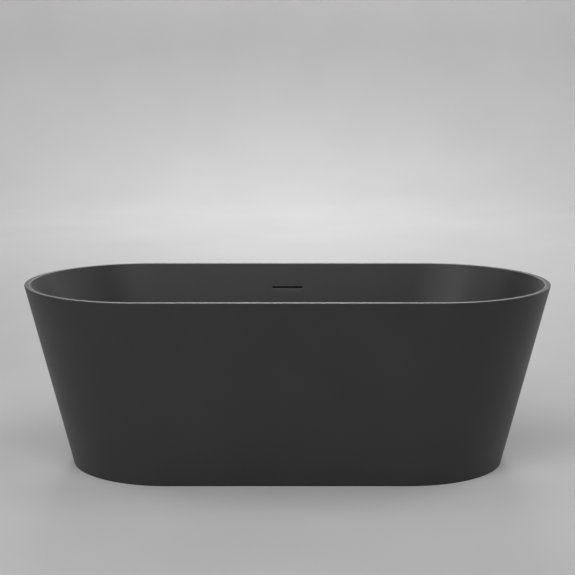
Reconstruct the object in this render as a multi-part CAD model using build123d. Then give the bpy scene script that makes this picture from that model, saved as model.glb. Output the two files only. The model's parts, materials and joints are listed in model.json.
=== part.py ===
from build123d import *
import os
from math import hypot, pi, radians, tan

# Freestanding twin-shell bathtub. Millimetres, +Z up, +X along the tub, +Y towards the overflow side.
# The origin is on the floor, under the middle of the tub.

# overall size
TUB_LENGTH = 1700
TUB_WIDTH = 780
TUB_HEIGHT = 590
FOOT_LENGTH = 1405
FOOT_WIDTH = 655

# the two shells
RIM_WIDTH = 18
RIM_DEPTH = 12
RIM_EDGE_R = 2.5
SKIRT_WALL = 9
SKIRT_FOOT_WALL = 18
SKIRT_FOOT_HEIGHT = 25
SKIRT_EDGE_R = 1.5
BASIN_WALL = 9
BASIN_FLOOR_LENGTH = 1150
BASIN_FLOOR_WIDTH = 430
BASIN_FLOOR_Z = 105
DRAIN_Z = 99
DRAIN_FLAT_STRAIGHT = 60
DRAIN_FLAT_R = 45
BASIN_UNDERSIDE_Z = 88
COVE_R = 60
UNDERSIDE_R = 45

# overflow slot and the box behind it
SLOT_LENGTH = 104
SLOT_HEIGHT = 5
SLOT_Z = 511
BOX_WALL = 1.8
BOX_LENGTH = 130
BOX_DEPTH = 9.5
BOX_ABOVE_SLOT = 14
BOX_BELOW_SLOT = 22
FUNNEL_END = 62
FUNNEL_END_LENGTH = 36
FUNNEL_END_DEPTH = 24
GASKET = 1.5
SPIGOT_R = 9
SPIGOT_BORE_R = 7.5
SPIGOT_LENGTH = 30
BOX_SCREW_R = 2
BOX_SCREW_BITE = 5
EAR_LENGTH = 14
EAR_THICK = 3

# hose
HOSE_R = 11
HOSE_BORE_R = 9
CLIP_R = 12.5
CLIP_WIDTH = 9

# base board and cross rails
BOARD_LENGTH = 1000
BOARD_WIDTH = 340
BOARD_THICK = 15
BOARD_CORNER_R = 60
BOARD_HOLE_STRAIGHT = 110
BOARD_HOLE_R = 65
RAIL_X = 420
RAIL_LENGTH = 560
RAIL_WIDTH = 40
RAIL_HEIGHT = 25
RAIL_WALL = 2.5
RAIL_SCREW_Y = (-140, -60, 60, 140)
RAIL_SCREW_R = 4
RAIL_SCREW_BITE = 12

# levelling feet, M12 x 1.75
FOOT_Y = 255
STUD_R = 6
THREAD_BORE_R = 6.05
SLEEVE_R = 10
SLEEVE_BOTTOM_Z = 32
JAM_NUT_HEIGHT = 7
HEX_FLATS = 19
COLLAR_HEIGHT = 7.4
FIT_GAP = 0.3
STUD_TOP_Z = 92
PAD_R = 26
PAD_HEIGHT = 17
PAD_SOCKET_Z = 7

# waste
WASTE_HOLE_R = 26
SEAT_Z = 95
FLANGE_R = 35
FLANGE_BORE_R = 21
TAIL_R = 24
TAIL_END_Z = 66
UPPER_GASKET = 1
FLANGE_PLATE = 2.5
LOWER_GASKET = 3
BODY_CAP_R = 38
BODY_CAP_THICK = 4
BODY_R = 31
BODY_BORE_R = 28
BODY_BOTTOM_Z = 26
BODY_FLOOR = 3
OUTLET_Z = 50
PIPE_R = 20
PIPE_BORE_R = 18
SOCKET_R = 25
SOCKET_BORE_R = 20.3
SOCKET_END_X = 66
ELBOW_START_X = 40
ELBOW_CORNER_X = 142
ELBOW_BEND_R = 24
ELBOW_END_Z = 4
NUT_R = 30
NUT_START_X = 50
SEAL_THICK = 4
NUT_LIP = 4

# click-clack plug
HUB_R = 9
HUB_BOTTOM_Z = 68
HUB_TOP_Z = 77
CARTRIDGE_THREAD_R = 6
CARTRIDGE_R = 8
CARTRIDGE_BOTTOM_Z = 62
CARTRIDGE_TOP_Z = 94
STEM_R = 4
STEM_BORE_R = 4.05
STEM_BOTTOM_Z = 69
CAP_R = 31
CAP_BOTTOM_Z = 101
CAP_THICK = 3.5
CAP_CROWN = 1.2
CAP_SOCKET_R = 7
SEAL_R = 28
SEAL_BORE_R = 23

# spacer blocks between the shells
BLOCK_Z = 330
BLOCK_SIZE = 60
BLOCK_X = 300

# A tapered shell: (height, half width, half length) at its foot and at its head.
# The outside is widest just under the rim's rounded edge.
OUTSIDE = (
    (0, FOOT_WIDTH / 2, FOOT_LENGTH / 2),
    (TUB_HEIGHT - RIM_EDGE_R, TUB_WIDTH / 2, TUB_LENGTH / 2),
)
INSIDE = (
    (BASIN_FLOOR_Z, BASIN_FLOOR_WIDTH / 2, BASIN_FLOOR_LENGTH / 2),
    (TUB_HEIGHT, TUB_WIDTH / 2 - RIM_WIDTH, TUB_LENGTH / 2 - RIM_WIDTH),
)
SEAM_Z = TUB_HEIGHT - RIM_DEPTH
WALL_SLOPE = (INSIDE[1][1] - INSIDE[0][1]) / (INSIDE[1][0] - INSIDE[0][0])


def stadium(half_width, half_length, z):
    """A level stadium outline: straight sides and half-round ends."""
    return Plane.XY.offset(z) * SlotCenterToCenter(2 * (half_length - half_width), 2 * half_width)


def section(shell, z, inset=0):
    """The stadium of a tapered shell at one height, moved inwards square to its wall."""
    (low_z, low_wide, low_long), (high_z, high_wide, high_long) = shell
    wide_slope = (high_wide - low_wide) / (high_z - low_z)
    long_slope = (high_long - low_long) / (high_z - low_z)
    half_width = low_wide + wide_slope * (z - low_z) - inset * hypot(1, wide_slope)
    half_length = low_long + long_slope * (z - low_z) - inset * hypot(1, long_slope)
    return stadium(half_width, half_length, z)


def taper(shell, low_z, high_z, inset=0):
    """The solid stretch of a tapered shell between two heights."""
    return loft([section(shell, low_z, inset), section(shell, high_z, inset)], ruled=True)


def edges_at(shape, z):
    """The edges that lie level at one height."""
    return shape.edges().filter_by_position(Axis.Z, z - 0.01, z + 0.01)


def disc(radius, low_z, high_z, x=0, y=0):
    """An upright round bar."""
    return Pos(x, y, low_z) * extrude(Circle(radius), high_z - low_z)


def ring(radius, bore, low_z, high_z, x=0, y=0):
    """An upright round tube."""
    return disc(radius, low_z, high_z, x, y) - disc(bore, low_z, high_z, x, y)


def hexagon(flats, low_z, high_z, x=0, y=0):
    """An upright hexagonal bar."""
    return Pos(x, y, low_z) * extrude(RegularPolygon(flats / 2, 6, major_radius=False), high_z - low_z)


def turned(points):
    """A solid turned about Z from the (radius, height) corners of its section."""
    return revolve(make_face(Polyline([(r, 0, z) for r, z in points], close=True)), Axis.Z)


def group(solids):
    """Several separate solids in one node."""
    return Compound(children=[Solid(s.wrapped) if isinstance(s, Solid) else s.solids()[0] for s in solids])


def save(name, shape):
    """Write one node."""
    export_step(shape, f"parts/{name}.step")


# ---- the two shells


def bath_cavity():
    """The space the water fills: tapered walls, a cove, and a floor dished to the drain."""
    walls = taper(INSIDE, BASIN_FLOOR_Z, TUB_HEIGHT + 5)
    drain = stadium(DRAIN_FLAT_R, DRAIN_FLAT_STRAIGHT / 2 + DRAIN_FLAT_R, DRAIN_Z)
    dish = loft([drain, section(INSIDE, BASIN_FLOOR_Z)], ruled=True)
    cavity = walls + dish
    return fillet(edges_at(cavity, BASIN_FLOOR_Z), COVE_R)


def basin_outside():
    """The outer surface of the basin's wall, under the rim."""
    body = taper(INSIDE, BASIN_UNDERSIDE_Z, SEAM_Z, -BASIN_WALL)
    return fillet(edges_at(body, BASIN_UNDERSIDE_Z), UNDERSIDE_R)


def wall_y(z):
    """Where the basin's back wall has its outer face, at one height."""
    return TUB_WIDTH / 2 - RIM_WIDTH - (TUB_HEIGHT - z) * WALL_SLOPE + BASIN_WALL * hypot(1, WALL_SLOPE)


# The frame of the overflow parts: X along the tub, Y up the sloping wall, Z square out of its outer face.
WALL_FRAME = Plane(
    origin=(0, wall_y(SLOT_Z), SLOT_Z),
    x_dir=(-1, 0, 0),
    z_dir=(0, 1, -WALL_SLOPE),
)


def slot_cut(length, height):
    """A level slot through the back wall, with round ends."""
    cutter = extrude(SlotOverall(length, height), BASIN_WALL * 4, both=True)
    return Pos(0, wall_y(SLOT_Z), SLOT_Z) * Rot(90, 0, 0) * cutter


def box_screw_places():
    """The four screws of the overflow box, as places on the wall's outer face."""
    half = BOX_LENGTH / 2 + EAR_LENGTH / 2
    return [Pos(x, y) for x in (-half, half) for y in (-BOX_BELOW_SLOT + 8, BOX_ABOVE_SLOT - 8)]


def inner_basin():
    rim = taper(OUTSIDE, SEAM_Z, TUB_HEIGHT)
    basin = basin_outside() + rim - bath_cavity()
    basin = fillet(edges_at(basin, TUB_HEIGHT), RIM_EDGE_R)
    basin -= slot_cut(SLOT_LENGTH, SLOT_HEIGHT)
    basin -= disc(WASTE_HOLE_R, BASIN_UNDERSIDE_Z - 1, DRAIN_Z + 1)
    basin -= disc(FLANGE_R + 1, SEAT_Z, DRAIN_Z + 5)
    for place in box_screw_places():
        basin -= WALL_FRAME * place * Pos(0, 0, -BOX_SCREW_BITE) * extrude(Circle(BOX_SCREW_R), BOX_SCREW_BITE + 1)
    return basin


def outer_skirt():
    skirt = taper(OUTSIDE, 0, SEAM_Z)
    skirt -= taper(OUTSIDE, SKIRT_FOOT_HEIGHT, SEAM_Z, SKIRT_WALL)
    skirt -= taper(OUTSIDE, 0, SKIRT_FOOT_HEIGHT, SKIRT_FOOT_WALL)
    outer_edge = edges_at(skirt, 0).sort_by(SortBy.LENGTH)
    rim_edge = [e for e in outer_edge if on_outline(e)]
    return fillet(rim_edge, SKIRT_EDGE_R)


def on_outline(edge):
    """Whether a foot edge belongs to the skirt's outer outline and not to its opening."""
    point = edge @ 0.5
    reach = hypot(max(abs(point.X) - (FOOT_LENGTH - FOOT_WIDTH) / 2, 0), point.Y)
    return reach > FOOT_WIDTH / 2 - SKIRT_FOOT_WALL / 2


def spacer_blocks():
    """Six blocks bonded between the shells, each cut from the space between them."""
    low = BLOCK_Z - BLOCK_SIZE / 2
    high = BLOCK_Z + BLOCK_SIZE / 2
    gap = taper(OUTSIDE, low, high, SKIRT_WALL) - taper(INSIDE, low, high, -BASIN_WALL)
    places = [(x, side * TUB_WIDTH / 2) for x in (-BLOCK_X, BLOCK_X) for side in (-1, 1)]
    places += [(side * TUB_LENGTH / 2, 0) for side in (-1, 1)]
    blocks = []
    for x, y in places:
        reach = (BLOCK_SIZE, TUB_WIDTH / 2) if y else (TUB_WIDTH / 2, BLOCK_SIZE)
        blocks.append(gap & Pos(x, y, BLOCK_Z) * Box(reach[0], reach[1], BLOCK_SIZE))
    return group(blocks)


# ---- base board, cross rails and feet


def rail_screw_places():
    return [(side * RAIL_X, y) for side in (-1, 1) for y in RAIL_SCREW_Y]


def foot_places():
    return [(side * RAIL_X, end * FOOT_Y) for end in (-1, 1) for side in (-1, 1)]


BOARD_BOTTOM_Z = BASIN_UNDERSIDE_Z - BOARD_THICK
WEB_BOTTOM_Z = BOARD_BOTTOM_Z - RAIL_WALL


def base_board():
    outline = RectangleRounded(BOARD_LENGTH, BOARD_WIDTH, BOARD_CORNER_R)
    outline -= Pos(-BOARD_HOLE_STRAIGHT / 4, 0) * SlotCenterToCenter(BOARD_HOLE_STRAIGHT / 2, 2 * BOARD_HOLE_R)
    board = Pos(0, 0, BOARD_BOTTOM_Z) * extrude(outline, BOARD_THICK)
    for x, y in rail_screw_places():
        board -= disc(RAIL_SCREW_R, BOARD_BOTTOM_Z, BOARD_BOTTOM_Z + RAIL_SCREW_BITE, x, y)
    return board


def cross_rail(side):
    """A channel, open downwards, under the board."""
    x = side * RAIL_X
    low = BOARD_BOTTOM_Z - RAIL_HEIGHT
    rail = Pos(x, 0, low) * extrude(Rectangle(RAIL_WIDTH, RAIL_LENGTH), RAIL_HEIGHT)
    rail = fillet(rail.edges().filter_by(Axis.Y).group_by(Axis.Z)[-1], 3)
    hollow = Rectangle(RAIL_WIDTH - 2 * RAIL_WALL, RAIL_LENGTH + 2)
    rail -= Pos(x, 0, low - 1) * extrude(hollow, RAIL_HEIGHT - RAIL_WALL + 1)
    for place in rail_screw_places():
        if place[0] == x:
            rail -= disc(RAIL_SCREW_R, WEB_BOTTOM_Z - 1, BOARD_BOTTOM_Z + 1, *place)
    for end in (-1, 1):
        rail -= disc(THREAD_BORE_R + 0.5, WEB_BOTTOM_Z - 1, BOARD_BOTTOM_Z + 1, x, end * FOOT_Y)
    return rail


def rail_screws():
    """Hexagon-headed wood screws with a washer face, driven up through the rails."""
    screws = []
    for x, y in rail_screw_places():
        shank = disc(RAIL_SCREW_R, WEB_BOTTOM_Z, BOARD_BOTTOM_Z + RAIL_SCREW_BITE, x, y)
        washer = disc(8.5, WEB_BOTTOM_Z - 1.6, WEB_BOTTOM_Z, x, y)
        head = hexagon(13, WEB_BOTTOM_Z - 6.9, WEB_BOTTOM_Z - 1.6, x, y)
        screws.append(shank + washer + head)
    return group(screws)


def leg_sleeves():
    """Long threaded sleeves, welded up against the webs of the rails."""
    return group([ring(SLEEVE_R, THREAD_BORE_R, SLEEVE_BOTTOM_Z, WEB_BOTTOM_Z, *p) for p in foot_places()])


def jam_nuts():
    nuts = []
    for place in foot_places():
        nut = hexagon(HEX_FLATS, SLEEVE_BOTTOM_Z - JAM_NUT_HEIGHT, SLEEVE_BOTTOM_Z, *place)
        nuts.append(nut - disc(THREAD_BORE_R, 0, STUD_TOP_Z, *place))
    return group(nuts)


def foot_stud(x, y):
    """A threaded stud with a spanner collar; its plain end turns in the pad's socket."""
    collar_top = SLEEVE_BOTTOM_Z - JAM_NUT_HEIGHT - FIT_GAP
    stud = disc(STUD_R, PAD_SOCKET_Z + FIT_GAP, STUD_TOP_Z, x, y)
    stud = chamfer(stud.edges().group_by(Axis.Z)[-1], 1)
    return stud + hexagon(HEX_FLATS, collar_top - COLLAR_HEIGHT, collar_top, x, y)


def foot_pad(x, y):
    """A round pad with a raised boss that holds the stud's end."""
    boss_r = STUD_R + 5
    pad = turned([(0, 0), (PAD_R, 0), (PAD_R, 5), (boss_r + 2, 9), (boss_r, PAD_HEIGHT), (0, PAD_HEIGHT)])
    pad -= disc(THREAD_BORE_R, PAD_SOCKET_Z, PAD_HEIGHT + 1)
    return Pos(x, y, 0) * pad


# ---- overflow


def on_wall(length, bottom, top, depth, start):
    """A block on the wall's outer face: its length, its span up the wall, and its span out of the wall."""
    block = Box(length, top - bottom, depth, align=(Align.CENTER, Align.MIN, Align.MIN))
    return Pos(0, bottom, start) * block


def funnel(margin):
    """The lower half of the overflow box, narrowing in length and deepening towards the spigot."""
    profiles = []
    ends = (
        (-BOX_BELOW_SLOT, BOX_LENGTH, BOX_DEPTH),
        (margin - FUNNEL_END, FUNNEL_END_LENGTH, FUNNEL_END_DEPTH),
    )
    for height, length, depth in ends:
        plane = Plane(origin=(0, height, GASKET + depth / 2), x_dir=(1, 0, 0), z_dir=(0, -1, 0))
        profiles.append(plane * Rectangle(length - 2 * margin, depth - 2 * margin))
    return loft(profiles, ruled=True)


SPIGOT_DEPTH = GASKET + FUNNEL_END_DEPTH / 2


def spigot_bar(radius, start, end):
    """A round bar down the line of the spigot."""
    plane = Plane(origin=(0, start, SPIGOT_DEPTH), x_dir=(1, 0, 0), z_dir=(0, -1, 0))
    return extrude(plane * Circle(radius), start - end)


def overflow_box():
    """A box behind the slot, open to the wall, with a flange, a funnel and a hose spigot."""
    box = on_wall(BOX_LENGTH, -BOX_BELOW_SLOT, BOX_ABOVE_SLOT, BOX_DEPTH, GASKET)
    box += on_wall(BOX_LENGTH + 2 * EAR_LENGTH, -BOX_BELOW_SLOT, BOX_ABOVE_SLOT, EAR_THICK, GASKET)
    box += funnel(0)
    box += spigot_bar(SPIGOT_R, -FUNNEL_END, -FUNNEL_END - SPIGOT_LENGTH)
    inner_length = BOX_LENGTH - 2 * BOX_WALL
    box -= on_wall(inner_length, -BOX_BELOW_SLOT, BOX_ABOVE_SLOT - BOX_WALL, BOX_DEPTH - BOX_WALL, GASKET)
    box -= funnel(BOX_WALL)
    box -= spigot_bar(SPIGOT_BORE_R, 2 * BOX_WALL - FUNNEL_END, -FUNNEL_END - SPIGOT_LENGTH - 1)
    for place in box_screw_places():
        box -= place * extrude(Circle(BOX_SCREW_R), GASKET + EAR_THICK + 1)
    return WALL_FRAME * box


def overflow_gasket():
    """A flat rubber frame round the slot, between the box and the wall."""
    gasket = on_wall(BOX_LENGTH + 2 * EAR_LENGTH, -BOX_BELOW_SLOT, BOX_ABOVE_SLOT, GASKET, 0)
    gasket -= on_wall(SLOT_LENGTH + 8, -SLOT_HEIGHT - 5, SLOT_HEIGHT + 2, GASKET, 0)
    for place in box_screw_places():
        gasket -= place * Cylinder(BOX_SCREW_R, 4 * GASKET)
    return WALL_FRAME * gasket


def overflow_screws():
    """Pan-head screws that hold the box to the wall."""
    screws = []
    for place in box_screw_places():
        under_head = GASKET + EAR_THICK
        shank = Pos(0, 0, -BOX_SCREW_BITE) * extrude(Circle(BOX_SCREW_R), BOX_SCREW_BITE + under_head)
        head = extrude(Circle(3.8), 2.2)
        head = Pos(0, 0, under_head) * fillet(head.edges().group_by(Axis.Z)[-1], 1.2)
        screws.append(WALL_FRAME * place * (shank + head))
    return group(screws)


def hose_route():
    """The hose's route: off the spigot, down beside the basin, and under it to the waste body."""
    start = WALL_FRAME.from_local_coords((0, -FUNNEL_END - 6, SPIGOT_DEPTH))
    leave = WALL_FRAME.from_local_coords((0, -FUNNEL_END - 76, SPIGOT_DEPTH))
    return [
        (0, start.Y, start.Z),
        (0, leave.Y, leave.Z),
        (0, 291, 242),
        (0, 268, 122),
        (0, 214, 57),
        (0, 130, OUTLET_Z),
        (0, BODY_R + 17, OUTLET_Z),
    ]


def bend_radii(points):
    """For each corner of a route, the largest arc that its two runs have room for."""
    radii = []
    for before, corner, after in zip(points, points[1:], points[2:]):
        back = Vector(*before) - Vector(*corner)
        ahead = Vector(*after) - Vector(*corner)
        half_turn = radians(180 - back.get_angle(ahead)) / 2
        radii.append(0.45 * min(back.length, ahead.length) / tan(half_turn))
    return radii


def overflow_hose():
    points = hose_route()
    radii = bend_radii(points)
    print("hose bend radii:", [round(r) for r in radii])
    path = FilletPolyline(*points, radius=radii)
    start = Plane(origin=path @ 0, z_dir=path % 0)
    hose = sweep(start * (Circle(HOSE_R) - Circle(HOSE_BORE_R)), path)
    expected = pi * (HOSE_R**2 - HOSE_BORE_R**2) * path.length
    print("hose volume / expected:", round(hose.volume / expected, 4), "length:", round(path.length))
    return hose


def hose_clip(start, towards):
    """A band clip round one end of the hose."""
    along = Plane(origin=start, x_dir=(1, 0, 0), z_dir=towards)
    band = extrude(along * (Circle(CLIP_R) - Circle(HOSE_R)), CLIP_WIDTH)
    lug = along * Pos(CLIP_R + 1.5, 0, CLIP_WIDTH / 2) * Box(7, 5, CLIP_WIDTH - 2)
    return band + (lug - extrude(along * Circle(HOSE_R + 0.5), CLIP_WIDTH))


# ---- waste


def waste_flange():
    """The waste's top flange, threaded tail and cross bar with its hub."""
    low = SEAT_Z + UPPER_GASKET
    high = low + FLANGE_PLATE
    flange = turned([
        (FLANGE_BORE_R, TAIL_END_Z),
        (TAIL_R, TAIL_END_Z),
        (TAIL_R, low),
        (FLANGE_R, low),
        (FLANGE_R, high - 1),
        (FLANGE_R - 1, high),
        (FLANGE_BORE_R + 1.5, high),
        (FLANGE_BORE_R, high - 1.5),
    ])
    bars = Pos(0, 0, (HUB_BOTTOM_Z + HUB_TOP_Z) / 2) * Box(2 * FLANGE_BORE_R + 1, 4, HUB_TOP_Z - HUB_BOTTOM_Z - 2)
    bars += Rot(0, 0, 90) * bars
    flange += bars + disc(HUB_R, HUB_BOTTOM_Z, HUB_TOP_Z)
    return flange - disc(CARTRIDGE_THREAD_R, HUB_BOTTOM_Z - 1, HUB_TOP_Z + 1)


def waste_body():
    """The cup under the drain, with the outlet socket and the overflow inlet."""
    top = BASIN_UNDERSIDE_Z - LOWER_GASKET
    body = disc(BODY_CAP_R, top - BODY_CAP_THICK, top) + disc(BODY_R, BODY_BOTTOM_Z, top)
    body = fillet(body.edges().group_by(Axis.Z)[0], 4)
    socket = Pos(0, 0, OUTLET_Z) * Rot(0, -90, 0) * extrude(Circle(SOCKET_R), SOCKET_END_X)
    inlet = Pos(0, 0, OUTLET_Z) * Rot(-90, 0, 0) * extrude(Circle(SPIGOT_R), BODY_R + 44)
    body += socket + inlet
    body -= disc(BODY_BORE_R, BODY_BOTTOM_Z + BODY_FLOOR, top - 15)
    body -= disc(TAIL_R, top - 16, top + 1)
    body -= Pos(-10, 0, OUTLET_Z) * Rot(0, -90, 0) * extrude(Circle(SOCKET_BORE_R), SOCKET_END_X)
    body -= Pos(0, 10, OUTLET_Z) * Rot(-90, 0, 0) * extrude(Circle(SPIGOT_BORE_R), BODY_R + 44)
    return body


def waste_elbow():
    """A pipe that enters the socket, runs level, and turns down to the floor."""
    points = [(-ELBOW_START_X, 0, OUTLET_Z), (-ELBOW_CORNER_X, 0, OUTLET_Z), (-ELBOW_CORNER_X, 0, ELBOW_END_Z)]
    path = FilletPolyline(*points, radius=ELBOW_BEND_R)
    start = Plane(origin=path @ 0, z_dir=path % 0)
    return sweep(start * (Circle(PIPE_R) - Circle(PIPE_BORE_R)), path)


def along_outlet(radius, bore, start, length):
    """A tube round the outlet's line, from one distance along it."""
    tube = extrude(Circle(radius) - Circle(bore), length)
    return Pos(-start, 0, OUTLET_Z) * Rot(0, -90, 0) * tube


def waste_nut():
    """The ribbed compression nut that closes the socket round the pipe."""
    length = SOCKET_END_X + SEAL_THICK - NUT_START_X
    nut = along_outlet(NUT_R, SOCKET_R, NUT_START_X, length)
    nut += along_outlet(NUT_R, SOCKET_BORE_R, SOCKET_END_X + SEAL_THICK, NUT_LIP)
    for i in range(12):
        groove = Pos(0, 0, OUTLET_Z) * Rot(i * 30, 0, 0) * Pos(-NUT_START_X, 0, NUT_R + 1)
        nut -= groove * Rot(0, -90, 0) * Pos(0, 0, 3) * extrude(Circle(3), length + NUT_LIP)
    return nut


def plug_cartridge():
    """The latch barrel, screwed into the flange's hub."""
    barrel = disc(CARTRIDGE_THREAD_R, CARTRIDGE_BOTTOM_Z, HUB_TOP_Z) + disc(CARTRIDGE_R, HUB_TOP_Z, CARTRIDGE_TOP_Z)
    return barrel - disc(STEM_BORE_R, CARTRIDGE_BOTTOM_Z + 3, CARTRIDGE_TOP_Z + 1)


def plug_cap():
    """The round cover: a crowned top, a soft edge, and a socket for the stem underneath."""
    rim_z = CAP_BOTTOM_Z + CAP_THICK
    crown_r = (CAP_R**2 + CAP_CROWN**2) / (2 * CAP_CROWN)
    cap = disc(CAP_R, CAP_BOTTOM_Z, rim_z + CAP_CROWN) & Pos(0, 0, rim_z + CAP_CROWN - crown_r) * Sphere(crown_r)
    cap = fillet(edges_at(cap, rim_z), 1.2)
    low = CARTRIDGE_TOP_Z + 1
    cap += disc(CAP_SOCKET_R, low, CAP_BOTTOM_Z)
    return cap - disc(STEM_R, low - 1, CAP_BOTTOM_Z + 1)


def plug_seal():
    """The rubber ring under the cap, a hair above the flange when shut."""
    low = SEAT_Z + UPPER_GASKET + FLANGE_PLATE + FIT_GAP
    return ring(SEAL_R, SEAL_BORE_R, low, CAP_BOTTOM_Z)


def build():
    os.makedirs("parts", exist_ok=True)
    save("inner_basin", inner_basin())
    save("outer_skirt", outer_skirt())
    save("spacer_blocks", spacer_blocks())
    save("base_board", base_board())
    save("cross_rail_left", cross_rail(-1))
    save("cross_rail_right", cross_rail(1))
    save("rail_screws", rail_screws())
    save("leg_sleeves", leg_sleeves())
    save("jam_nuts", jam_nuts())
    for number, place in enumerate(foot_places(), 1):
        save(f"foot_stud_{number}", foot_stud(*place))
        save(f"foot_pad_{number}", foot_pad(*place))
    save("overflow_box", overflow_box())
    save("overflow_gasket", overflow_gasket())
    save("overflow_screws", overflow_screws())
    save("overflow_hose", overflow_hose())
    route = [Vector(*p) for p in hose_route()]
    down = (route[1] - route[0]).normalized()
    save("hose_clip_upper", hose_clip(route[0] + down * 5, down))
    save("hose_clip_lower", hose_clip(route[-1] + Vector(0, 5, 0), (0, 1, 0)))
    save("waste_flange", waste_flange())
    save("waste_upper_gasket", ring(FLANGE_R, WASTE_HOLE_R, SEAT_Z, SEAT_Z + UPPER_GASKET))
    low = BASIN_UNDERSIDE_Z - LOWER_GASKET
    save("waste_lower_gasket", ring(BODY_CAP_R, TAIL_R + 0.5, low, BASIN_UNDERSIDE_Z))
    save("waste_body", waste_body())
    save("waste_elbow", waste_elbow())
    save("waste_nut", waste_nut())
    save("waste_seal", along_outlet(SOCKET_R - 0.2, PIPE_R, SOCKET_END_X, SEAL_THICK))
    save("plug_cartridge", plug_cartridge())
    save("plug_cap", plug_cap())
    save("plug_seal", plug_seal())
    save("plug_stem", disc(STEM_R, STEM_BOTTOM_Z, CAP_BOTTOM_Z + 1))


build()
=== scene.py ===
import json
import math

import bpy
import bmesh
from mathutils import Matrix, Vector


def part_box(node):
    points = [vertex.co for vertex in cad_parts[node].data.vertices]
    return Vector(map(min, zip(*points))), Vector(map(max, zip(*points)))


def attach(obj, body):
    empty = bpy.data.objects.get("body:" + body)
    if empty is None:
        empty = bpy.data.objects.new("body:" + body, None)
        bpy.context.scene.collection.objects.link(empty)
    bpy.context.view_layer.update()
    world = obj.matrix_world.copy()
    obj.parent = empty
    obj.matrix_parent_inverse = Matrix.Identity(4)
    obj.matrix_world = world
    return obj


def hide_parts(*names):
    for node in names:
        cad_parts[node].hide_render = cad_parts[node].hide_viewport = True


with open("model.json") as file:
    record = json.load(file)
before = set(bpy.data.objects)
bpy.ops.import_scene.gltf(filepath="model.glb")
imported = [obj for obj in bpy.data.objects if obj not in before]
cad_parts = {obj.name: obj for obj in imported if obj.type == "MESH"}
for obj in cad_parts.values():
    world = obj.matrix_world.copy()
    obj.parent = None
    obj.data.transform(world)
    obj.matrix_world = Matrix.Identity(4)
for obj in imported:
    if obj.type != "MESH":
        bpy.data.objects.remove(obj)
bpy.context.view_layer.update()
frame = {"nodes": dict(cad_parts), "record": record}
NODES = frame["nodes"]

# ---- sizes that the frame doesn't say, in metres

# the tub's outline: half widths and half lengths of its foot and its rim
FOOT_HALF = (0.3275, 0.7025)
RIM_HALF = (0.390, 0.850)

RIM_WIDTH = 0.018
RIM_DEPTH = 0.012
RIM_EDGE_R = 0.0025
RIM_ARC_STEPS = 7
# the inner wall's own rings begin this far below the rim's top
WALL_START_DEPTH = 0.008
# the outside's second ring is this far above the seam
SEAM_RING_GAP = 0.003
SKIRT_WALL = 0.009
SKIRT_FOOT_WALL = 0.018
SKIRT_FOOT_HEIGHT = 0.025
SKIRT_EDGE_R = 0.0015
BASIN_WALL = 0.009
UNDERSIDE_R = 0.045

# the basin's floor, as half width, half length and height, and the flat round its drain
BASIN_FLOOR = (0.215, 0.575, 0.105)
DRAIN_FLAT = (0.045, 0.075, 0.099)
COVE_R = 0.060
COVE_HEIGHT = 0.047
COVE_TOP = BASIN_FLOOR[2] + COVE_HEIGHT
SEAT_R = 0.036
SEAT_Z = 0.095
SEAT_EDGE = 0.001
WASTE_HOLE_R = 0.026

SLOT_LENGTH = 0.104
SLOT_HEIGHT = 0.005
SLOT_Z = 0.511
SLOT_EDGE_R = 0.0009
SLOT_CUT_START = -0.004
SLOT_CUT_END = 0.03

RAIL_X = 0.420
RAIL_SCREW_Y = (-0.140, -0.060, 0.060, 0.140)

# points along each half circle and each straight side of a ring
ARC_STEPS = 96
SIDE_STEPS = 40

# edges shorter than this, such as a cut can leave, are dissolved
SLIVER = 0.000002


# ---- where the shells stand: each is the stadium at its foot and the one at its rim


TOP_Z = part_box("inner_basin")[1].z
UNDERSIDE_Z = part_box("inner_basin")[0].z
SEAM_Z = TOP_Z - RIM_DEPTH
WALL_TOP_Z = TOP_Z - WALL_START_DEPTH
OUTSIDE = (
    (*FOOT_HALF, 0.0),
    (*RIM_HALF, TOP_Z - RIM_EDGE_R),
)
INSIDE = (
    BASIN_FLOOR,
    (RIM_HALF[0] - RIM_WIDTH, RIM_HALF[1] - RIM_WIDTH, TOP_Z),
)


# ---- level rings: each is (half width, half length, height)


def line(shell, z, inset=0.0):
    """The stadium of a tapered shell at one height, moved inwards square to its wall."""
    low, high = shell
    rise = high[2] - low[2]
    sizes = []
    for a, b in ((low[0], high[0]), (low[1], high[1])):
        slope = (b - a) / rise
        sizes.append(a + slope * (z - low[2]) - inset * math.hypot(1, slope))
    return (*sizes, z)


def rounded(shell, z, centre_z, radius, side, inset=0.0):
    """A shell's stadium where an edge or cove of one radius rounds it off.

    side is +1 where the round's centre lies inwards of the wall, and -1 where it lies outwards.
    """
    low, high = shell
    rise = high[2] - low[2]
    sizes = []
    for a, b in ((low[0], high[0]), (low[1], high[1])):
        slope = (b - a) / rise
        wall = a + slope * (z - low[2]) - inset * math.hypot(1, slope)
        centre = a + slope * (centre_z - low[2]) - (inset + side * radius) * math.hypot(1, slope)
        touch = centre_z - side * radius * slope / math.hypot(1, slope)
        beyond = (z > touch) if centre_z > (low[2] + high[2]) / 2 else (z < touch)
        reach = math.sqrt(max(radius**2 - (z - centre_z) ** 2, 0))
        sizes.append(centre + side * reach if beyond else wall)
    return (*sizes, z)


def arc_heights(centre_z, radius, start, end, steps):
    """Heights along a round edge, from one angle above the horizon to another."""
    angles = [math.radians(start + (end - start) * i / steps) for i in range(steps + 1)]
    return [centre_z + radius * math.sin(a) for a in angles]


def span(a, b, steps):
    """Evenly spaced values from a to b, both included."""
    return [a + (b - a) * i / steps for i in range(steps + 1)]


def between(ring_a, ring_b, share):
    """The ring part of the way from one to another."""
    return tuple(a + (b - a) * share for a, b in zip(ring_a, ring_b))


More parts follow.
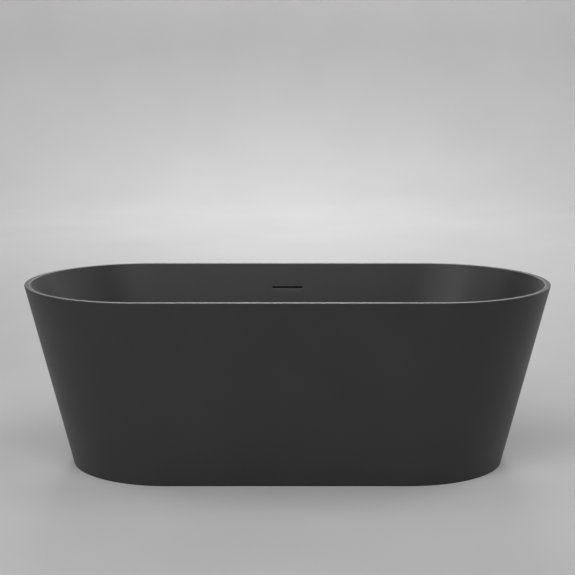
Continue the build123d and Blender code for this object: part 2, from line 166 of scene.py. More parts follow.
def ring_points(ring):
    """The points of one stadium ring, the same number and order for every ring."""
    half_width, half_length, z = ring
    straight = half_length - half_width
    points = []
    for side in (1, -1):
        for i in range(SIDE_STEPS):
            points.append((side * (straight - 2 * straight * i / SIDE_STEPS), side * half_width, z))
        for i in range(ARC_STEPS):
            a = math.pi * i / ARC_STEPS
            x = -side * (straight + half_width * math.sin(a))
            points.append((x, side * half_width * math.cos(a), z))
    return points


def new_object(name, vertices, faces, sharp=35):
    """A mesh object from points and faces, shaded smooth with its real corners kept sharp."""
    mesh = bpy.data.meshes.new(name)
    mesh.from_pydata(vertices, [], faces)
    mesh.validate()
    return finish_mesh(name, mesh, sharp)


def finish_mesh(name, mesh, sharp=35):
    """An object from a mesh, with its slivers dissolved and its faces all turned outwards."""
    bm = bmesh.new()
    bm.from_mesh(mesh)
    bmesh.ops.dissolve_degenerate(bm, dist=SLIVER, edges=bm.edges)
    bmesh.ops.recalc_face_normals(bm, faces=bm.faces)
    bm.to_mesh(mesh)
    bm.free()
    mesh.shade_smooth()
    mesh.set_sharp_from_angle(angle=math.radians(sharp))
    piece = bpy.data.objects.new(name, mesh)
    bpy.context.scene.collection.objects.link(piece)
    return piece


def loop_of_rings(name, rings):
    """A closed shell from rings that lead round its section and back to the first."""
    points = [p for ring in rings for p in ring_points(ring)]
    count = len(ring_points(rings[0]))
    faces = []
    for i in range(len(rings)):
        a, b = i * count, (i + 1) % len(rings) * count
        for k in range(count):
            n = (k + 1) % count
            faces.append((a + k, a + n, b + n, b + k))
    return new_object(name, points, faces)


# ---- the two shells


def rim_outer_rings(low_z):
    """Up the outside from one height and over the rim's outer edge."""
    centre = TOP_Z - RIM_EDGE_R
    rings = [line(OUTSIDE, z) for z in (low_z, low_z + SEAM_RING_GAP, TOP_Z - 2 * RIM_EDGE_R)]
    heights = arc_heights(centre, RIM_EDGE_R, -12, 90, RIM_ARC_STEPS)
    rings += [rounded(OUTSIDE, z, centre, RIM_EDGE_R, 1) for z in heights]
    return rings


def rim_inner_rings():
    """Over the rim's inner edge and a little way down the inside."""
    centre = TOP_Z - RIM_EDGE_R
    heights = arc_heights(centre, RIM_EDGE_R, 90, -30, RIM_ARC_STEPS)
    return [rounded(INSIDE, z, centre, RIM_EDGE_R, -1) for z in heights]


def inner_wall_rings():
    """Down the inner wall, round the cove and over the dished floor to the drain."""
    centre = BASIN_FLOOR[2] + COVE_R
    rings = [line(INSIDE, z) for z in span(WALL_TOP_Z, COVE_TOP, 14)]
    heights = arc_heights(centre, COVE_R, -16, -89, 16)
    rings += [rounded(INSIDE, z, centre, COVE_R, 1) for z in heights]
    foot_of_cove = rings[-1]
    rings += [between(foot_of_cove, DRAIN_FLAT, share) for share in (0.1, 0.3, 0.6, 0.85, 1)]
    return rings


def round_ring(radius, z):
    """A ring that is a plain circle."""
    return (radius, radius, z)


def drain_rings():
    """From the floor's lowest flat, down the waste's seat and hole to the underside."""
    z = DRAIN_FLAT[2]
    return [
        round_ring(SEAT_R + SEAT_EDGE, z),
        round_ring(SEAT_R + 0.3 * SEAT_EDGE, z - 0.3 * SEAT_EDGE),
        round_ring(SEAT_R, z - SEAT_EDGE),
        round_ring(SEAT_R, SEAT_Z),
        round_ring(WASTE_HOLE_R, SEAT_Z),
        round_ring(WASTE_HOLE_R, UNDERSIDE_Z),
    ]


def basin_outside_rings():
    """Out along the flat underside and up the basin's outer wall to the seam."""
    centre = UNDERSIDE_Z + UNDERSIDE_R
    heights = reversed(arc_heights(centre, UNDERSIDE_R, -16, -89.5, 10))
    rings = [rounded(INSIDE, z, centre, UNDERSIDE_R, 1, -BASIN_WALL) for z in heights]
    wall_start = UNDERSIDE_Z + 0.8 * UNDERSIDE_R
    rings += [line(INSIDE, z, -BASIN_WALL) for z in span(wall_start, SEAM_Z, 8)]
    return rings


def slot_cutter():
    """The slot's shape, flared where it meets the inner face of the back wall."""
    low, high = INSIDE
    slope = (high[0] - low[0]) / (high[2] - low[2])
    half_round, edge_steps = 10, 5
    rings = []
    # pairs of (depth behind the wall's inner face, how far the slot flares there)
    depths = [(SLOT_CUT_START, SLOT_EDGE_R)]
    for a in span(0, math.pi / 2, edge_steps):
        depths.append((SLOT_EDGE_R * (1 - math.cos(a)), SLOT_EDGE_R * (1 - math.sin(a))))
    depths.append((SLOT_CUT_END, 0.0))
    for depth, flare in depths:
        radius = SLOT_HEIGHT / 2 + flare
        half = SLOT_LENGTH / 2 - SLOT_HEIGHT / 2
        points = []
        for side in (1, -1):
            for i in range(half_round + 1):
                a = math.pi * i / half_round - math.pi / 2
                x = side * (half + radius * math.cos(a))
                z = SLOT_Z + side * radius * math.sin(a)
                points.append((x, low[0] + slope * (z - low[2]) + depth, z))
        rings.append(points)
    count = len(rings[0])
    vertices = [p for ring in rings for p in ring]
    faces = [tuple(range(count)), tuple(range(len(vertices) - 1, len(vertices) - 1 - count, -1))]
    for i in range(len(rings) - 1):
        for k in range(count):
            n = (k + 1) % count
            a = i * count
            faces.append((a + k, a + n, a + n + count, a + k + count))
    return new_object("slot_cutter", vertices, faces)


def cut(piece, cutter):
    """Takes the cutter's shape out of a piece, for good."""
    modifier = piece.modifiers.new("cut", "BOOLEAN")
    modifier.object = cutter
    modifier.operation = "DIFFERENCE"
    modifier.solver = "EXACT"
    depsgraph = bpy.context.evaluated_depsgraph_get()
    mesh = bpy.data.meshes.new_from_object(piece.evaluated_get(depsgraph))
    name = piece.name
    bpy.data.objects.remove(piece)
    bpy.data.objects.remove(cutter)
    return finish_mesh(name, mesh)


def make_basin():
    """Over the rim, down the inside to the drain and back up the outside, with the slot cut."""
    up, down = rim_outer_rings(SEAM_Z), rim_inner_rings()
    # a ring close to each edge of the rim's flat top keeps the flat's shading level
    level = [between(up[-1], down[0], share) for share in (0.04, 0.96)]
    rings = up + level + down + inner_wall_rings() + drain_rings() + basin_outside_rings()
    return cut(loop_of_rings("basin_shell", rings), slot_cutter())


def make_skirt():
    """Up the outside from the foot, over the seam and down the inside."""
    heights = arc_heights(SKIRT_EDGE_R, SKIRT_EDGE_R, -90, -10, 6)
    rings = [rounded(OUTSIDE, z, SKIRT_EDGE_R, SKIRT_EDGE_R, 1) for z in heights]
    rings += [line(OUTSIDE, z) for z in span(2 * SKIRT_EDGE_R, SEAM_Z, 16)]
    rings += [line(OUTSIDE, z, SKIRT_WALL) for z in span(SEAM_Z, SKIRT_FOOT_HEIGHT, 10)]
    rings += [line(OUTSIDE, z, SKIRT_FOOT_WALL) for z in (SKIRT_FOOT_HEIGHT, 0.0)]
    return loop_of_rings("skirt_shell", rings)


# ---- turned and hexagonal hardware
# A row is (height, flat radius or None, greatest radius): None makes a round row, and a flat
# radius makes a hexagon whose corners are cut back to the greatest radius.


THREAD_PITCH = 0.00175
THREAD_DEPTH = 0.00107
STUD_R = 0.006
BORE_R = 0.00606
COLLAR_TOP_Z = 0.0247
COLLAR_HEIGHT = 0.0074
PAD_R = 0.026
SLEEVE_R = 0.010
HEX_FLAT_R = 0.0095
HEX_CORNER_R = 0.0106
HEX_CHAMFER = 0.0011

# points round a turned body
STEPS = 48
STUD_STEPS = 36
PAD_STEPS = 96
SCREW_STEPS = 36

# stands in a row for a radius that follows the thread
THREADED = "threaded"


def row_radius(row, angle):
    z, flat, greatest = row
    if flat is None:
        return greatest
    sixth = math.pi / 3
    return min(flat / math.cos((angle % sixth) - sixth / 2), greatest)


def thread_radius(z, angle):
    """The radius of an M12 thread's surface at one height and angle."""
    turn = (z / THREAD_PITCH - angle / (2 * math.pi)) % 1
    ramp = abs(2 * turn - 1)
    return STUD_R - THREAD_DEPTH * min(max(1.35 * ramp - 0.12, 0), 1)


def turned(rows, place=Matrix(), steps=STEPS, ring=False, radius=row_radius):
    """Points and faces of a turned body: closed by its poles, or into a ring."""
    points = []
    for row in rows:
        for k in range(steps):
            a = 2 * math.pi * k / steps
            r = radius(row, a)
            points.append(place @ Vector((r * math.cos(a), r * math.sin(a), row[0])))
    faces = []
    for i in range(len(rows) if ring else len(rows) - 1):
        low, high = i * steps, (i + 1) % len(rows) * steps
        for k in range(steps):
            n = (k + 1) % steps
            faces.append((low + k, low + n, high + n, high + k))
    if not ring:
        faces.append(tuple(range(steps)))
        faces.append(tuple(range(len(points) - steps, len(points))))
    return points, faces


def joined(name, bodies, sharp=35):
    """One object from several separate bodies, each given as points and faces."""
    points, faces = [], []
    for some_points, some_faces in bodies:
        start = len(points)
        points += some_points
        faces += [tuple(start + i for i in face) for face in some_faces]
    return new_object(name, points, faces, sharp)


def node_places(nodes):
    """The middle of each node's box, as places on the floor."""
    places = []
    for node in nodes:
        low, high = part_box(node)
        places.append(Matrix.Translation(((low.x + high.x) / 2, (low.y + high.y) / 2, 0)))
    return places


FEET = range(1, 5)
FOOT_PLACES = node_places([f"foot_pad_{k}" for k in FEET])


def hex_rows(low, high, flat=HEX_FLAT_R, corner=HEX_CORNER_R):
    """Rows of a hexagon with both ends chamfered."""
    return [
        (low, flat, flat - 0.0002),
        (low + HEX_CHAMFER, flat, corner),
        (high - HEX_CHAMFER, flat, corner),
        (high, flat, flat - 0.0002),
    ]


def make_stud(number, place):
    """A threaded stud with a plain lower end and a spanner collar."""
    low, high = (corner.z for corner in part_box(f"foot_stud_{number}"))
    collar_low = COLLAR_TOP_Z - COLLAR_HEIGHT
    rows = [(low, None, STUD_R - 0.0008), (low + 0.0008, None, STUD_R), (collar_low, None, STUD_R)]
    rows += hex_rows(collar_low, COLLAR_TOP_Z)
    rows.append((COLLAR_TOP_Z, None, STUD_R - THREAD_DEPTH))
    rows += [(z, None, THREADED) for z in span(COLLAR_TOP_Z + 0.0004, high - 0.0012, 230)]
    rows += [(high - 0.0008, None, STUD_R - 0.0009), (high, None, STUD_R - 0.0015)]

    def radius(row, angle):
        return thread_radius(row[0], angle) if row[2] is THREADED else row_radius(row, angle)

    return joined(f"threaded_stud_{number}", [turned(rows, place, STUD_STEPS, radius=radius)], 50)


def make_pad(number, place):
    """A rubber pad: a ribbed flare, a boss round the stud's end and a grooved sole."""
    sole = [(0.0006, 0.004), (0.0006, 0.008), (0.0, 0.0085), (0.0, 0.013), (0.0006, 0.0135)]
    sole += [(0.0006, 0.0175), (0.0, 0.018), (0.0, 0.0248)]
    edge = [(0.0004, PAD_R - 0.0004), (0.0012, PAD_R), (0.0040, PAD_R), (0.0048, PAD_R - 0.0004)]
    flare = [(0.0052, 0.0248), (0.0058, 0.0220), (0.0068, 0.0185), (0.0078, 0.0155), (0.0090, 0.0132)]
    boss = [(0.0110, 0.0125), (0.0162, 0.0111), (0.0168, 0.0108), (0.0170, 0.0102), (0.0170, 0.0070)]
    socket = [(0.0168, 0.0066), (0.0160, BORE_R), (0.0071, BORE_R)]
    profile = sole + edge + flare + boss + socket
    points, faces = turned([(z, None, r) for z, r in profile], place, PAD_STEPS)
    ribs, rib_height = 24, 0.0011
    for row in range(profile.index(flare[1]), profile.index(flare[4])):
        for k in range(PAD_STEPS):
            rise = math.cos(ribs * 2 * math.pi * k / PAD_STEPS)
            points[row * PAD_STEPS + k].z += rib_height * max(rise, 0)
    return joined(f"rubber_pad_{number}", [(points, faces)], 40)


def make_jam_nuts():
    """Chamfered hexagon nuts with a countersunk bore."""
    low, high = (corner.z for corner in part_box("jam_nuts"))
    sink, sink_r = 0.0009, 0.0070
    rows = hex_rows(low, high)
    rows += [(high, None, sink_r), (high - sink, None, BORE_R)]
    rows += [(low + sink, None, BORE_R), (low, None, sink_r)]
    return joined("jam_nut_set", [turned(rows, place, ring=True) for place in FOOT_PLACES])


def weld_bead(place, z):
    """A rippled ring of weld round a sleeve, under the rail that it is welded to."""
    profile = [(0.0030, SLEEVE_R), (0.0024, 0.0112), (0.0012, 0.0126), (0.0, 0.0133), (0.0, SLEEVE_R)]
    points, faces = turned([(z - down, None, r) for down, r in profile], place, ring=True)
    ripples, ripple_size = STEPS // 4, 0.035
    centre = place.translation.xy
    for i, point in enumerate(points):
        if 0 < i // STEPS < len(profile) - 1:
            ripple = 1 + ripple_size * math.sin(ripples * 2 * math.pi * i / STEPS)
            point.xy = centre + (point.xy - centre) * ripple
    return points, faces


def make_sleeves():
    """Long sleeves with a bead of weld where each meets its rail."""
    low, high = (corner.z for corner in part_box("leg_sleeves"))
    rows = [(low, None, BORE_R + 0.0008), (low, None, SLEEVE_R - 0.0007), (low + 0.0007, None, SLEEVE_R)]
    rows += [(high, None, SLEEVE_R), (high, None, BORE_R), (low + 0.0008, None, BORE_R)]
    bodies = [turned(rows, place, ring=True) for place in FOOT_PLACES]
    bodies += [weld_bead(place, high) for place in FOOT_PLACES]
    return joined("welded_sleeves", bodies)


def make_rail_screws():
    """Hexagon-headed wood screws with washer faces, their threads up in the board."""
    low, high = (corner.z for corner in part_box("rail_screws"))
    flat_r, corner_r, washer_r, thread_r, core_r = 0.0065, 0.00725, 0.0085, 0.0040, 0.0030
    head_top, washer_top, thread_start = low + 0.0053, low + 0.0069, low + 0.009
    rows = hex_rows(low, head_top, flat_r, corner_r)
    rows += [(head_top, None, washer_r - 0.0006), (head_top + 0.0005, None, washer_r)]
    rows += [(washer_top, None, washer_r), (washer_top, None, thread_r)]
    for i, z in enumerate(span(thread_start, high - 0.003, 9)):
        rows.append((z, None, thread_r if i % 2 else core_r))
    rows.append((high, None, 0.0008))
    bodies = []
    for x in (-RAIL_X, RAIL_X):
        for y in RAIL_SCREW_Y:
            bodies.append(turned(rows, Matrix.Translation((x, y, 0)), SCREW_STEPS))
    return joined("rail_screw_set", bodies)


# ---- overflow hose: held on two spigots, and free between them

HOSE_R = 0.011
HOSE_ROUTE = (
    (0.0, 0.3478, 0.4423),
    (0.0, 0.3262, 0.3757),
    (0.0, 0.2910, 0.2420),
    (0.0, 0.2680, 0.1220),
    (0.0, 0.2140, 0.0570),
    (0.0, 0.1300, 0.0500),
    (0.0, 0.0480, 0.0500),
)


def smooth_line(points):
    """Points read from the smooth curve that has the route's points as its controls."""
    curve = bpy.data.curves.new("route", "CURVE")
    curve.dimensions = "3D"
    curve.resolution_u = 60
    spline = curve.splines.new("NURBS")
    spline.points.add(len(points) - 1)
    for target, point in zip(spline.points, points):
        target.co = (*point, 1)
    spline.order_u = 3
    spline.use_endpoint_u = True
    holder = bpy.data.objects.new("route", curve)
    bpy.context.scene.collection.objects.link(holder)
    mesh = bpy.data.meshes.new_from_object(holder)
    line_points = [v.co.copy() for v in mesh.vertices]
    bpy.data.objects.remove(holder)
    return line_points


def along_line(points, distances):
    """Places at given distances along a line of points, each with its direction."""
    places = []
    travelled, i = 0.0, 0
    for distance in distances:
        while i < len(points) - 2 and travelled + (points[i + 1] - points[i]).length < distance:
            travelled += (points[i + 1] - points[i]).length
            i += 1
        step = points[i + 1] - points[i]
        places.append((points[i] + step.normalized() * (distance - travelled), step.normalized()))
    return places


def make_hose(path):
    """A corrugated hose with smooth cuffs, hollow from end to end."""
    length = sum((b - a).length for a, b in zip(path, path[1:]))
    wave, groove, cuff, wall = 0.0042, 0.0013, 0.020, 0.0016
    steps, rings_per_wave = 28, 6
    distances = span(0.0, length, int(length / wave) * rings_per_wave)
    across = Vector((1, 0, 0))

    def shell(shift):
        points = []
        for distance, (centre, along) in zip(distances, along_line(path, distances)):
            out = along.cross(across).normalized()
            r = HOSE_R + shift
            if cuff < distance < length - cuff:
                part = 0.5 - 0.5 * math.cos(2 * math.pi * (distance - cuff) / wave)
                r -= groove * part**1.5
            for k in range(steps):
                a = 2 * math.pi * k / steps
                points.append(centre + across * (r * math.cos(a)) + out * (r * math.sin(a)))
        return points

    outer, inner = shell(0.0), shell(-wall)
    points = outer + inner
    count = len(distances)
    faces = []
    for i in range(count - 1):
        for k in range(steps):
            n = (k + 1) % steps
            a = i * steps
            faces.append((a + k, a + n, a + steps + n, a + steps + k))
            b = len(outer) + a
            faces.append((b + n, b + k, b + steps + k, b + steps + n))
    for start, turn in ((0, 1), ((count - 1) * steps, -1)):
        for k in range(steps):
            n = (k + 1) % steps
            ring = [start + k, start + n, len(outer) + start + n, len(outer) + start + k]
            faces.append(tuple(ring[::turn]))
    return new_object("corrugated_hose", points, faces)


# ---- materials


class Look:
    """A small builder for one procedural material."""

    def __init__(self, name, roughness=0.5, metallic=0.0, specular=0.5):
        self.material = bpy.data.materials.new(name)
        self.material.use_nodes = True
        self.tree = self.material.node_tree
        self.shader = self.tree.nodes["Principled BSDF"]
        self.shader.inputs["Roughness"].default_value = roughness
        self.shader.inputs["Metallic"].default_value = metallic
        self.shader.inputs["Specular IOR Level"].default_value = specular
        self.place = self.tree.nodes.new("ShaderNodeTexCoord").outputs["Object"]

    def node(self, kind, **settings):
        made = self.tree.nodes.new(kind)
        for key, value in settings.items():
            setattr(made, key, value)
        return made

    def link(self, a, b):
        self.tree.links.new(a, b)

    def stretched(self, x, y, z):
        """The place, scaled along each axis."""
        made = self.node("ShaderNodeMapping")
        made.inputs["Scale"].default_value = (x, y, z)
        self.link(self.place, made.inputs["Vector"])
        return made.outputs["Vector"]

    def noise(self, scale, detail=2.0, rough=0.5, at=None):
        made = self.node("ShaderNodeTexNoise")
        made.inputs["Scale"].default_value = scale
        made.inputs["Detail"].default_value = detail
        made.inputs["Roughness"].default_value = rough
        self.link(at or self.place, made.inputs["Vector"])
        return made.outputs["Fac"]

    def cells(self, scale, output="Distance"):
        """Cells of about one size: the distance from their middles, or a colour for each."""
        made = self.node("ShaderNodeTexVoronoi")
        made.inputs["Scale"].default_value = scale
        self.link(self.place, made.inputs["Vector"])
        return made.outputs[output]

    def layer_of(self, low, high, count):
        """0 in every other level layer between two heights, and 1 in the rest."""
        apart = self.node("ShaderNodeSeparateXYZ")
        self.link(self.place, apart.inputs["Vector"])
        scaled = self.spread(apart.outputs["Z"], 0.0, count / 2, low, high)
        part = self.node("ShaderNodeMath", operation="FRACT")
        self.link(scaled, part.inputs[0])
        half = self.node("ShaderNodeMath", operation="GREATER_THAN")
        half.inputs[1].default_value = 0.5
        self.link(part.outputs[0], half.inputs[0])
        return half.outputs[0]

    def spread(self, value, low, high, start=0.3, end=0.7):
        """Maps a noise's middle range onto a range of numbers."""
        made = self.node("ShaderNodeMapRange")
        made.inputs["From Min"].default_value = start
        made.inputs["From Max"].default_value = end
        made.inputs["To Min"].default_value = low
        made.inputs["To Max"].default_value = high
        self.link(value, made.inputs["Value"])
        return made.outputs["Result"]

    def mix(self, share, a, b):
        """A colour between two, each a colour or a socket."""
        made = self.node("ShaderNodeMix", data_type="RGBA")
        for socket, value in ((made.inputs[6], a), (made.inputs[7], b)):
            if isinstance(value, tuple):
                socket.default_value = (*value, 1)
            else:
                self.link(value, socket)
        self.link(share, made.inputs[0])
        return made.outputs[2]

    def colour(self, value):
        self.link(value, self.shader.inputs["Base Color"])

    def roughness(self, value):
        self.link(value, self.shader.inputs["Roughness"])

    def bump(self, height, strength, distance):
        made = self.node("ShaderNodeBump")
        made.inputs["Strength"].default_value = strength
        made.inputs["Distance"].default_value = distance
        self.link(height, made.inputs["Height"])
        previous = self.shader.inputs["Normal"].links
        if previous:
            self.link(previous[0].from_socket, made.inputs["Normal"])
        self.link(made.outputs["Normal"], self.shader.inputs["Normal"])


def solid_surface():
    """Matte charcoal cast resin: an even, finely sanded skin."""
    look = Look("solid_surface_charcoal", roughness=0.45, specular=0.5)
    cloud = look.noise(5.0, 3.0, 0.5)
    fine = look.noise(420.0, 2.0, 0.6)
    base = look.mix(look.spread(cloud, 0.0, 1.0), (0.0235, 0.0235, 0.0240), (0.0275, 0.0275, 0.0278))
    look.colour(look.mix(look.spread(fine, 0.0, 0.35), base, (0.036, 0.036, 0.0365)))
    look.roughness(look.spread(look.noise(4.0, 2.0, 0.5), 0.435, 0.465))
    look.bump(look.noise(900.0, 2.0, 0.5), 0.12, 0.0002)
    return look.material


def coated_metal():
    """Brass under a matte charcoal coat, with a fine powder grain."""
    look = Look("coated_metal_charcoal", roughness=0.38, specular=0.5)
    cloud = look.spread(look.noise(60.0, 3.0), 0.0, 1.0)
    look.colour(look.mix(cloud, (0.022, 0.022, 0.0225), (0.028, 0.028, 0.0285)))
    look.roughness(look.spread(look.noise(140.0, 3.0), 0.33, 0.43))
    look.bump(look.noise(2600.0, 2.0), 0.18, 0.0001)
    return look.material


def moulded_plastic(name, dark, light, roughness):
    """Moulded plastic: faint flow marks and a fine spark-eroded grain."""
    look = Look(name, roughness=roughness, specular=0.45)
    flow = look.spread(look.noise(14.0, 4.0, 0.6, look.stretched(1.0, 1.0, 3.0)), 0.0, 1.0)
    look.colour(look.mix(flow, dark, light))
    look.roughness(look.spread(look.noise(55.0, 3.0), roughness - 0.06, roughness + 0.08))
    look.bump(look.cells(1500.0), 0.16, 0.00015)
    look.bump(look.noise(36.0, 2.0), 0.08, 0.0006)
    return look.material


def rubber(name, dark, dusty):
    """Black rubber with a bloom of dust on it."""
    look = Look(name, roughness=0.8, specular=0.3)
    bloom = look.spread(look.noise(45.0, 6.0, 0.7), 0.0, 1.0, 0.42, 0.78)
    look.colour(look.mix(bloom, dark, dusty))
    look.roughness(look.spread(look.noise(80.0, 3.0), 0.70, 0.92))
    look.bump(look.noise(900.0, 4.0, 0.7), 0.25, 0.0002)
    return look.material


def zinc_plate():
    """Bright zinc plating with a faint yellow passivation and darker handled patches."""
    look = Look("zinc_plate", roughness=0.3, metallic=1.0)
    tint = look.spread(look.noise(90.0, 4.0, 0.6), 0.0, 1.0)
    base = look.mix(tint, (0.56, 0.56, 0.55), (0.62, 0.58, 0.47))
    dull = look.spread(look.noise(38.0, 5.0, 0.65), 0.0, 0.55, 0.5, 0.8)
    look.colour(look.mix(dull, base, (0.30, 0.29, 0.27)))
    look.roughness(look.spread(look.noise(160.0, 3.0), 0.24, 0.46))
    look.bump(look.noise(1400.0, 2.0), 0.12, 0.0001)
    return look.material


def galvanised_steel():
    """Hot-dipped zinc: patches of spangle, each with its own grey and gloss."""
    look = Look("galvanised_steel", roughness=0.45, metallic=1.0)
    patch = look.spread(look.cells(95.0, "Color"), 0.0, 1.0, 0.2, 0.8)
    shade = look.mix(patch, (0.45, 0.47, 0.49), (0.57, 0.59, 0.61))
    look.colour(look.mix(look.spread(look.noise(22.0, 5.0, 0.6), 0.0, 0.5), shade, (0.36, 0.37, 0.38)))
    look.roughness(look.spread(patch, 0.34, 0.56, 0.0, 1.0))
    look.bump(look.noise(260.0, 4.0, 0.6), 0.15, 0.0003)
    return look.material


def brushed_steel():
    """Stainless strip with a grain along its length."""
    look = Look("brushed_stainless", roughness=0.3, metallic=1.0)
    grain = look.noise(900.0, 3.0, 0.6, look.stretched(0.06, 1.0, 1.0))
    look.colour(look.mix(look.spread(grain, 0.0, 1.0), (0.52, 0.52, 0.53), (0.66, 0.66, 0.66)))
    look.roughness(look.spread(grain, 0.22, 0.42))
    look.bump(grain, 0.15, 0.0001)
    return look.material


def turned_brass():
    """Brass with the rings of its turning and a little tarnish."""
    look = Look("turned_brass", roughness=0.28, metallic=1.0)
    rings = look.noise(40.0, 2.0, 0.5, look.stretched(0.2, 0.2, 60.0))
    tarnish = look.spread(look.noise(70.0, 5.0, 0.65), 0.0, 0.7, 0.45, 0.8)
    look.colour(look.mix(tarnish, (0.66, 0.48, 0.20), (0.34, 0.22, 0.09)))
    look.roughness(look.spread(rings, 0.20, 0.40))
    look.bump(rings, 0.2, 0.0001)
    return look.material


def plywood():
    """Birch plywood: seven plies, their grain turned a quarter from one to the next."""
    look = Look("birch_plywood", roughness=0.65, specular=0.3)
    low, high = (corner.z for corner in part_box("base_board"))
    plies = 7
    layer = look.layer_of(low, high, plies)
    lengthways = look.noise(24.0, 6.0, 0.62, look.stretched(0.16, 3.2, 1.0))
    crossways = look.noise(24.0, 6.0, 0.62, look.stretched(3.2, 0.16, 1.0))
    pale, dark = (0.56, 0.39, 0.22), (0.36, 0.22, 0.11)
    along = look.mix(look.spread(lengthways, 0.0, 1.0), pale, dark)
    across = look.mix(look.spread(crossways, 0.15, 1.0), (0.44, 0.28, 0.15), (0.25, 0.15, 0.07))
    look.colour(look.mix(layer, along, across))
    look.roughness(look.spread(lengthways, 0.55, 0.75))
    look.bump(lengthways, 0.2, 0.0004)
    return look.material


def cut_foam():
    """Cream polyurethane foam, cut so that its pores are open, with painted shade in each pore's hollow.
    """
    look = Look("cut_foam", roughness=0.9, specular=0.2)
    pores = look.cells(420.0)
    # painted shade: the colour darkens towards each pore's middle, where its hollow lies
    shade = look.spread(pores, 1.0, 0.0, 0.05, 0.45)
    look.colour(look.mix(shade, (0.70, 0.63, 0.46), (0.42, 0.35, 0.22)))
    look.bump(pores, 0.6, 0.0012)
    return look.material


def plain_floor():
    """Pale matte paint, a little uneven."""
    look = Look("pale_floor", roughness=0.6, specular=0.25)
    look.colour(look.mix(look.spread(look.noise(1.5), 0.0, 1.0), (0.62, 0.62, 0.62), (0.65, 0.65, 0.65)))
    return look.material


# ---- stage, lights and camera

CAMERA_AT = (0.0, -5.176, 1.475)
CAMERA_PITCH = math.radians(9.912)
CAMERA_LENS = 101.26


def make_camera():
    data = bpy.data.cameras.new("camera")
    data.lens = CAMERA_LENS
    camera = bpy.data.objects.new("camera", data)
    camera.location = CAMERA_AT
    camera.rotation_euler = (math.pi / 2 - CAMERA_PITCH, 0, 0)
    bpy.context.scene.collection.objects.link(camera)
    bpy.context.scene.camera = camera


def make_stage():
    """A pale floor that sweeps up into a pale wall all round, well away from the tub."""
    wall_r, cove_r, height, steps = 8.0, 1.2, 5.0, 96
    profile = [(0.05, 0.0), (2.0, 0.0), (wall_r - cove_r, 0.0)]
    for i in range(1, 13):
        a = math.radians(90 * i / 12)
        profile.append((wall_r - cove_r + cove_r * math.sin(a), cove_r - cove_r * math.cos(a)))
    profile.append((wall_r, height))
    vertices, faces = [], [tuple(range(steps))]
    for r, z in profile:
        vertices += [(r * math.cos(t), r * math.sin(t), z) for t in span(0, 2 * math.pi, steps)[:-1]]
    for i in range(len(profile) - 1):
        for k in range(steps):
            n = (k + 1) % steps
            low, high = i * steps, (i + 1) * steps
            faces.append((low + k, low + n, high + n, high + k))
    stage = new_object("studio_stage", vertices, faces)
    stage.data.materials.append(plain_floor())


def softbox(name, at, towards, size, power):
    data = bpy.data.lights.new(name, "AREA")
    data.shape = "RECTANGLE"
    data.size, data.size_y = size
    data.energy = power
    light = bpy.data.objects.new(name, data)
    light.location = at
    light.visible_camera = False
    light.rotation_mode = "QUATERNION"
    light.rotation_quaternion = (Vector(towards) - Vector(at)).to_track_quat("-Z", "Y")
    bpy.context.scene.collection.objects.link(light)


def make_world(level):
    world = bpy.data.worlds.new("world")
    world.use_nodes = True
    world.node_tree.nodes["Background"].inputs["Color"].default_value = (level, level, level, 1)
    bpy.context.scene.world = world


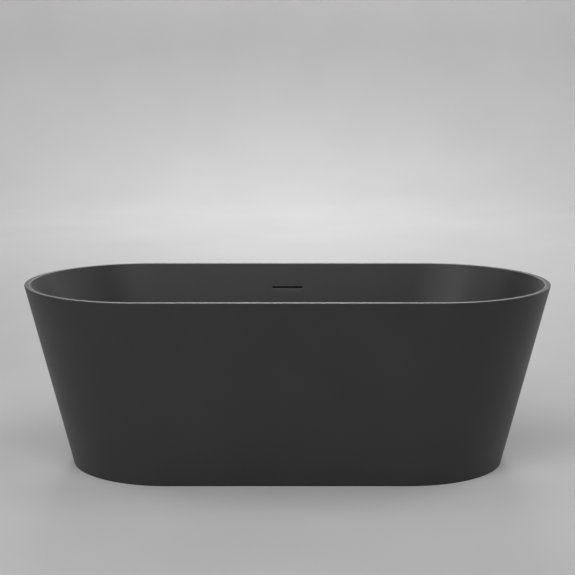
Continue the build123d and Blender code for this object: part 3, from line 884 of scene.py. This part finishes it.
def make_lights():
    make_world(0.0)
    softbox("wall_wash", (0.5, 3.6, 4.6), (0.5, 8.0, 1.6), (8.0, 1.5), 125)
    softbox("camera_side_wash", (0, -3.9, 4.6), (0, -8.0, 1.6), (8.0, 1.5), 40)
    softbox("left_wash", (-3.9, 0, 4.6), (-8.0, 0, 1.6), (1.5, 6.0), 30)
    softbox("right_wash", (3.9, 0, 4.6), (8.0, 0, 1.6), (1.5, 6.0), 30)
    softbox("back_panel", (0, 7.7, 2.9), (0, 0, 0.5), (3.6, 2.4), 150)
    softbox("front_left", (-3.4, -4.0, 3.2), (0, 0, 0.4), (2.0, 2.0), 65)
    softbox("front_top", (0.2, -3.4, 4.4), (0, 0, 0.3), (3.0, 1.6), 65)
    softbox("high_right", (2.4, 0.3, 3.6), (-0.5, 0.1, 0.4), (1.6, 1.6), 28)
    softbox("high_left", (-2.4, 0.3, 3.6), (0.5, 0.1, 0.4), (1.6, 1.6), 28)
    softbox("right_back", (3.4, 2.6, 2.6), (0.6, 0, 0.3), (2.4, 2.0), 20)
    softbox("overhead", (0, -1.4, 3.4), (0, 0.3, 0.3), (3.0, 1.0), 14)


bpy.context.scene.view_settings.view_transform = "Standard"
make_camera()
make_stage()
make_lights()


# ---- each look, with the slot that it gives a finish

LOOKS = {
    "shell": solid_surface(),
    "waste_metal": coated_metal(),
    "black_plastic": moulded_plastic(
        "moulded_black_plastic", (0.017, 0.017, 0.018), (0.024, 0.024, 0.025), 0.42
    ),
    "grey_plastic": moulded_plastic("moulded_grey_plastic", (0.30, 0.31, 0.32), (0.36, 0.37, 0.38), 0.40),
    "rubber": rubber("seal_rubber", (0.014, 0.014, 0.014), (0.045, 0.044, 0.042)),
    "foot_rubber": rubber("dusty_foot_rubber", (0.024, 0.024, 0.025), (0.075, 0.073, 0.070)),
    "zinc": zinc_plate(),
    "galvanised": galvanised_steel(),
    "stainless": brushed_steel(),
    "brass": turned_brass(),
    "plywood": plywood(),
    "foam": cut_foam(),
}


def dress(piece, slot):
    """Gives an object its slot's look, in place of any it has."""
    piece.data.materials.clear()
    piece.data.materials.append(LOOKS[slot])


def stand_for(piece, node, body="tub"):
    """Finishes a piece that takes a CAD node's place."""
    slot = SLOTS[node]
    dress(piece, slot)
    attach(piece, body)
    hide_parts(node)


SLOTS = {part["node"]: part["material_slot"] for part in frame["record"]["subparts"]}
for node, cad_object in NODES.items():
    dress(cad_object, SLOTS[node])

stand_for(make_basin(), "inner_basin")
stand_for(make_skirt(), "outer_skirt")
stand_for(make_jam_nuts(), "jam_nuts")
stand_for(make_sleeves(), "leg_sleeves")
stand_for(make_rail_screws(), "rail_screws")
for number, place in zip(FEET, FOOT_PLACES):
    stand_for(make_stud(number, place), f"foot_stud_{number}", f"stud_{number}")
    stand_for(make_pad(number, place), f"foot_pad_{number}", f"pad_{number}")

hose_line = smooth_line(HOSE_ROUTE)
hose = make_hose(hose_line)
stand_for(hose, "overflow_hose")
